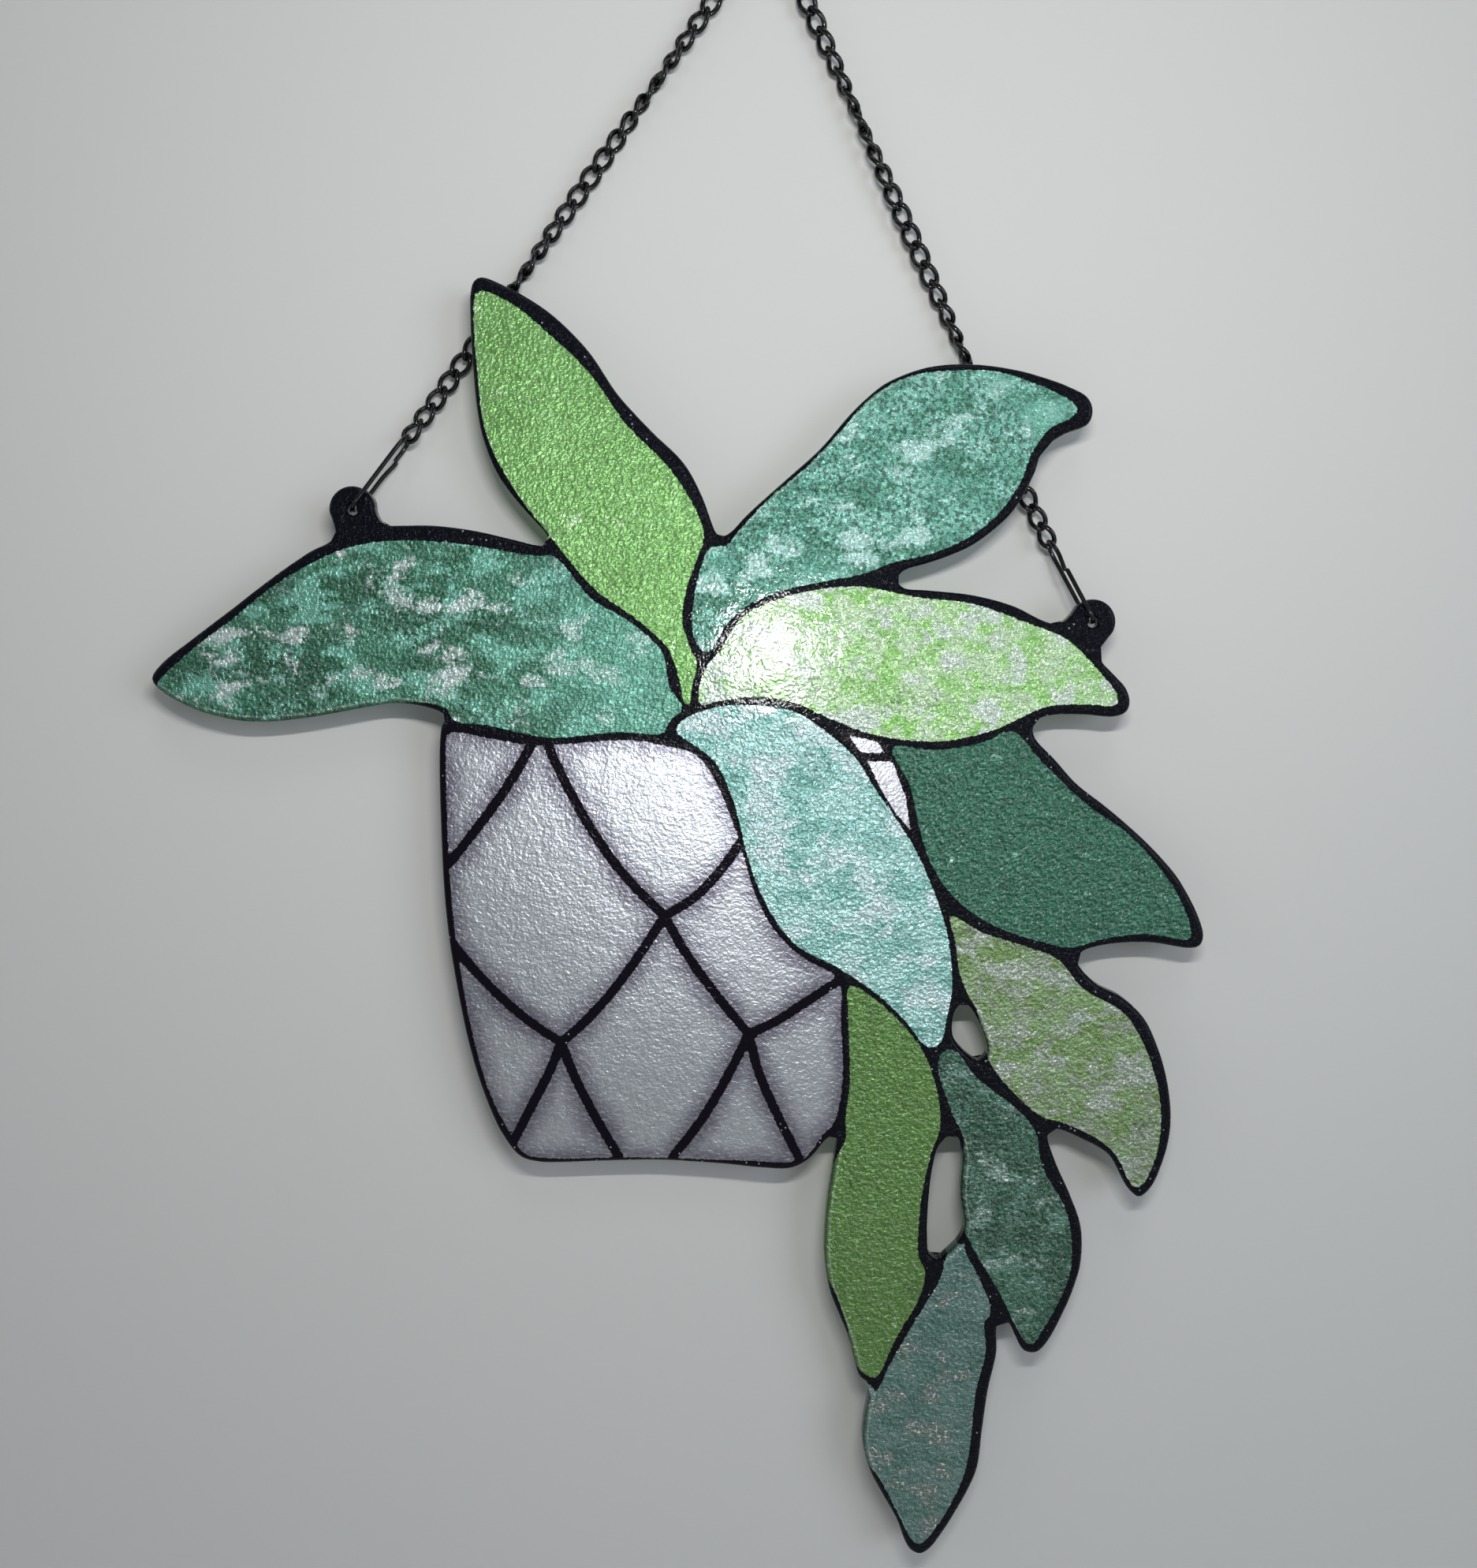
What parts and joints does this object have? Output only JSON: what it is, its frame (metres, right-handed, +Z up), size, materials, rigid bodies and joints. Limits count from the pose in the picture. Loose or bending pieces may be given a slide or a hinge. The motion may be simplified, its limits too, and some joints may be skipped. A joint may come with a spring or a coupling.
{
  "type": "stained glass suncatcher",
  "caption": "Flat textured glass ornament in the shape of a potted plant, hung by two open wire rings and a link chain that meets at one hanging point.",
  "frame": {"origin": "the hanging point: the middle of the chain's top link", "axes": "+Z up, +X to the right as seen from the front, the printed front of the glass faces -Y"},
  "size_m": [0.1589, 0.0074, 0.249],
  "materials": {
    "printed_glass": "clear hammered glass with greens, silver and black lines printed on it, glossy rounded edge",
    "black_wire": "glossy black plated steel wire",
    "black_chain": "glossy black plated curb chain links"
  },
  "bodies": {
    "root": {"glass_sheet": "printed_glass", "end_ring_left": "black_wire", "end_ring_right": "black_wire", "link_left_01": "black_chain", "link_left_02": "black_chain", "link_left_03": "black_chain", "link_left_04": "black_chain", "link_left_05": "black_chain", "link_left_06": "black_chain", "link_left_07": "black_chain", "link_left_08": "black_chain", "link_left_09": "black_chain", "link_left_10": "black_chain", "link_left_11": "black_chain", "link_left_12": "black_chain", "link_left_13": "black_chain", "link_left_14": "black_chain", "link_left_15": "black_chain", "link_left_16": "black_chain", "link_left_17": "black_chain", "link_left_18": "black_chain", "link_left_19": "black_chain", "link_left_20": "black_chain", "link_left_21": "black_chain", "link_left_22": "black_chain", "link_left_23": "black_chain", "link_left_24": "black_chain", "link_left_25": "black_chain", "link_right_01": "black_chain", "link_right_02": "black_chain", "link_right_03": "black_chain", "link_right_04": "black_chain", "link_right_05": "black_chain", "link_right_06": "black_chain", "link_right_07": "black_chain", "link_right_08": "black_chain", "link_right_09": "black_chain", "link_right_10": "black_chain", "link_right_11": "black_chain", "link_right_12": "black_chain", "link_right_13": "black_chain", "link_right_14": "black_chain", "link_right_15": "black_chain", "link_right_16": "black_chain", "link_right_17": "black_chain", "link_right_18": "black_chain", "link_right_19": "black_chain", "link_right_20": "black_chain", "link_right_21": "black_chain", "link_right_22": "black_chain", "link_right_23": "black_chain", "link_right_24": "black_chain", "link_right_25": "black_chain", "link_right_26": "black_chain", "link_right_27": "black_chain", "link_right_28": "black_chain", "links_top": "black_chain"}
  },
  "joints": []
}
